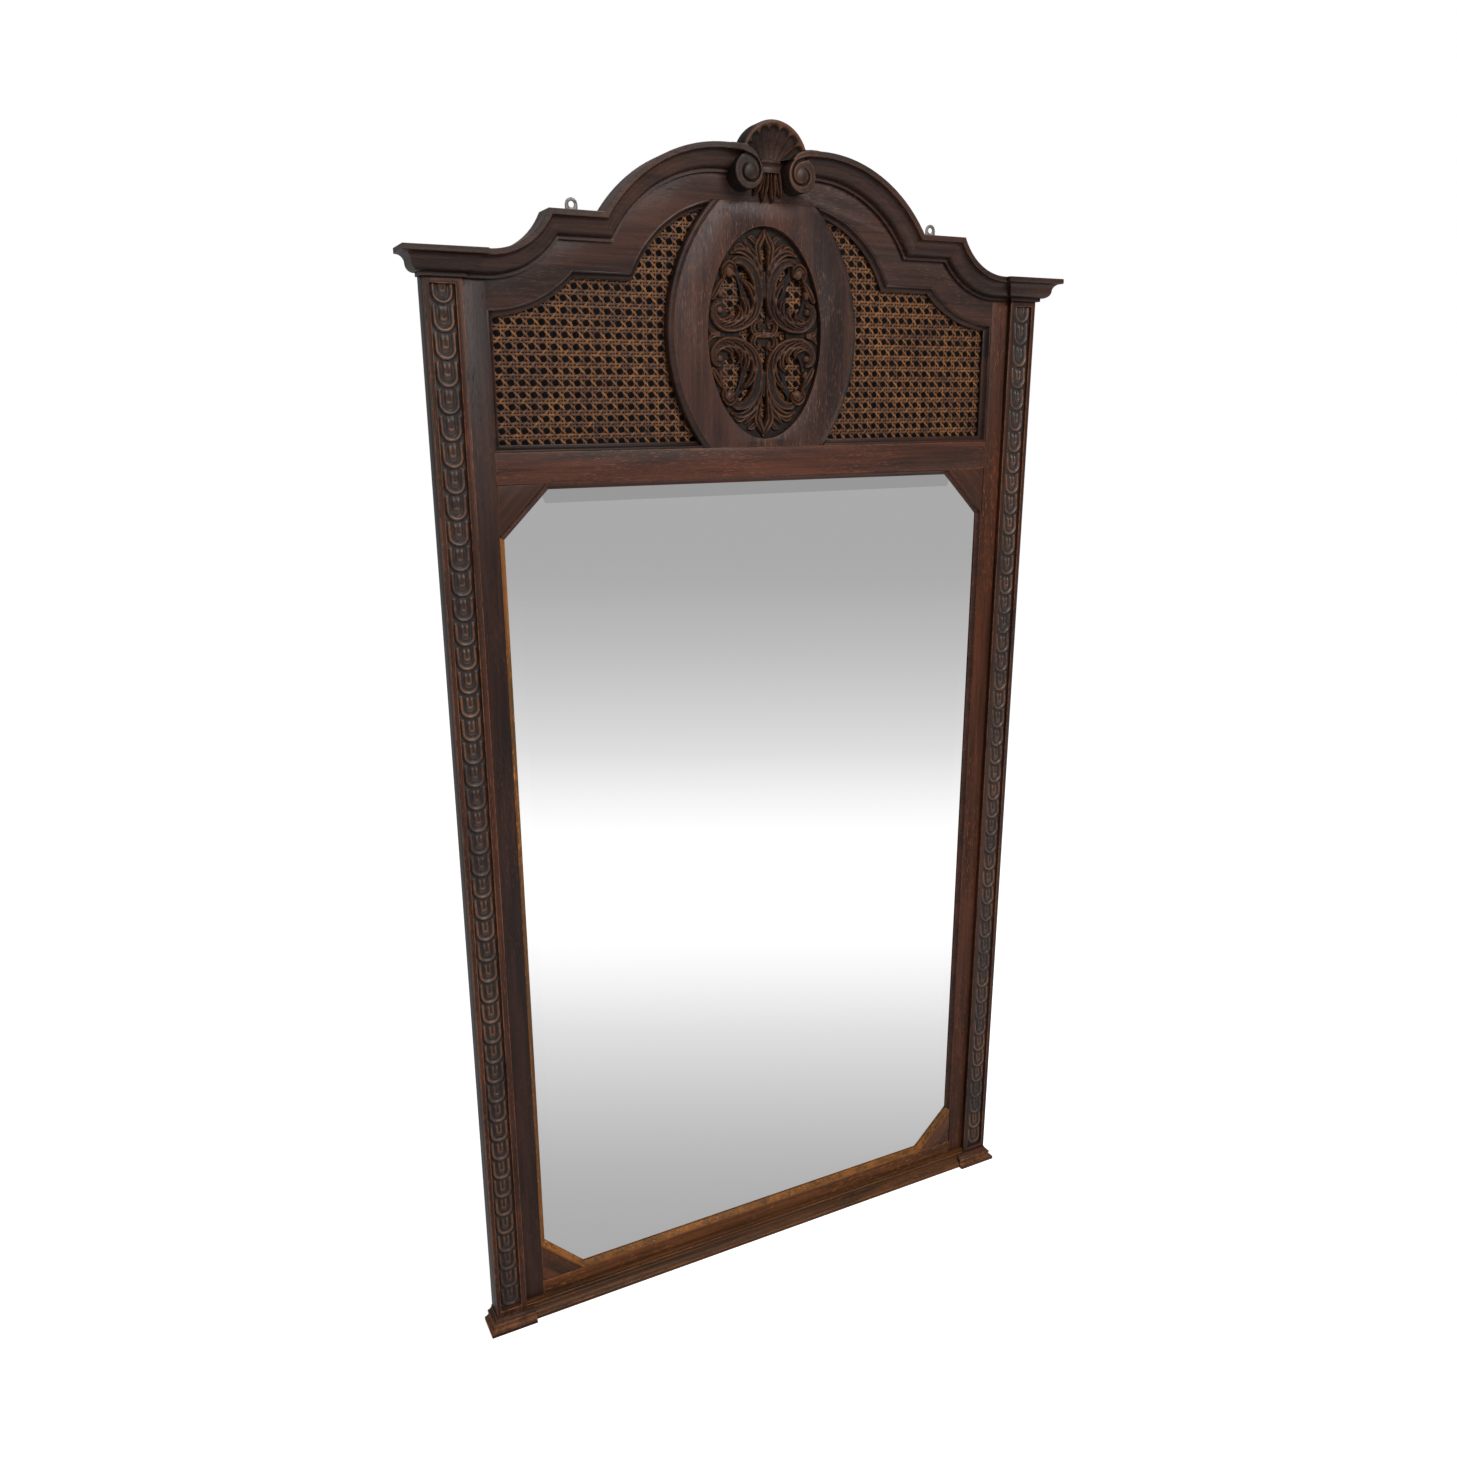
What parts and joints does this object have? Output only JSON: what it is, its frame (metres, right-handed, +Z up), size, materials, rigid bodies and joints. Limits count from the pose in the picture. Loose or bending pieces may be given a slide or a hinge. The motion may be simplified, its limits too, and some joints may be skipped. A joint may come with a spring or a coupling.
{
  "type": "wall mirror",
  "caption": "Tall framed wall mirror with canted glass, a caned and carved crest panel, scale-carved pilasters and a broken cornice with volutes and a shell.",
  "frame": {"origin": "on the floor plane under the middle of the mirror's bounding box", "axes": "+X to the right seen from the room, +Y back into the wall, -Y out to the room, +Z up"},
  "size_m": [0.9052, 0.0546, 1.579],
  "materials": {
    "frame_oak": "dark stained oak, waxed",
    "moulded_oak": "dark stained oak, waxed, worn on the edges",
    "carved_oak": "dark stained carved oak, worn on the high places",
    "cane": "aged varnished cane",
    "dark_board": "matt black paint",
    "plain_board": "plain unfinished board",
    "mirror_glass": "silvered glass",
    "black_iron": "blackened iron",
    "screw_steel": "dull steel"
  },
  "bodies": {
    "root": {"backboard": "plain_board", "base_moulding": "moulded_oak", "board_screws": "screw_steel", "bottom_rail": "frame_oak", "cane_backing": "dark_board", "cane_panel": "cane", "corner_block_bottom_left": "frame_oak", "corner_block_bottom_right": "frame_oak", "corner_block_top_left": "frame_oak", "corner_block_top_right": "frame_oak", "cornice_arch_left": "moulded_oak", "cornice_arch_right": "moulded_oak", "cornice_block_left": "moulded_oak", "cornice_block_right": "moulded_oak", "cornice_cove_left": "moulded_oak", "cornice_cove_right": "moulded_oak", "cornice_step_left": "moulded_oak", "cornice_step_right": "moulded_oak", "crest_board": "frame_oak", "eye_screws": "screw_steel", "glazing_cant_bottom_left": "moulded_oak", "glazing_cant_bottom_right": "moulded_oak", "glazing_cant_top_left": "moulded_oak", "glazing_cant_top_right": "moulded_oak", "glazing_strip_bottom": "moulded_oak", "glazing_strip_left": "moulded_oak", "glazing_strip_right": "moulded_oak", "glazing_strip_top": "moulded_oak", "hanging_eye_left": "black_iron", "hanging_eye_right": "black_iron", "mid_rail": "frame_oak", "mirror_glass": "mirror_glass", "oval_carving": "carved_oak", "pilaster_left": "frame_oak", "pilaster_right": "frame_oak", "plinth_left": "moulded_oak", "plinth_right": "moulded_oak", "scale_strip_left": "carved_oak", "scale_strip_right": "carved_oak", "shell_crest": "carved_oak", "splat": "frame_oak", "splat_bead_left": "moulded_oak", "splat_bead_right": "moulded_oak", "stile_left": "frame_oak", "stile_right": "frame_oak", "volute_left": "carved_oak", "volute_right": "carved_oak", "window_bead_arch_left": "moulded_oak", "window_bead_arch_right": "moulded_oak", "window_bead_cove_left": "moulded_oak", "window_bead_cove_right": "moulded_oak", "window_bead_rail_left": "moulded_oak", "window_bead_rail_right": "moulded_oak", "window_bead_side_left": "moulded_oak", "window_bead_side_right": "moulded_oak", "window_bead_step_left": "moulded_oak", "window_bead_step_right": "moulded_oak"}
  },
  "joints": []
}
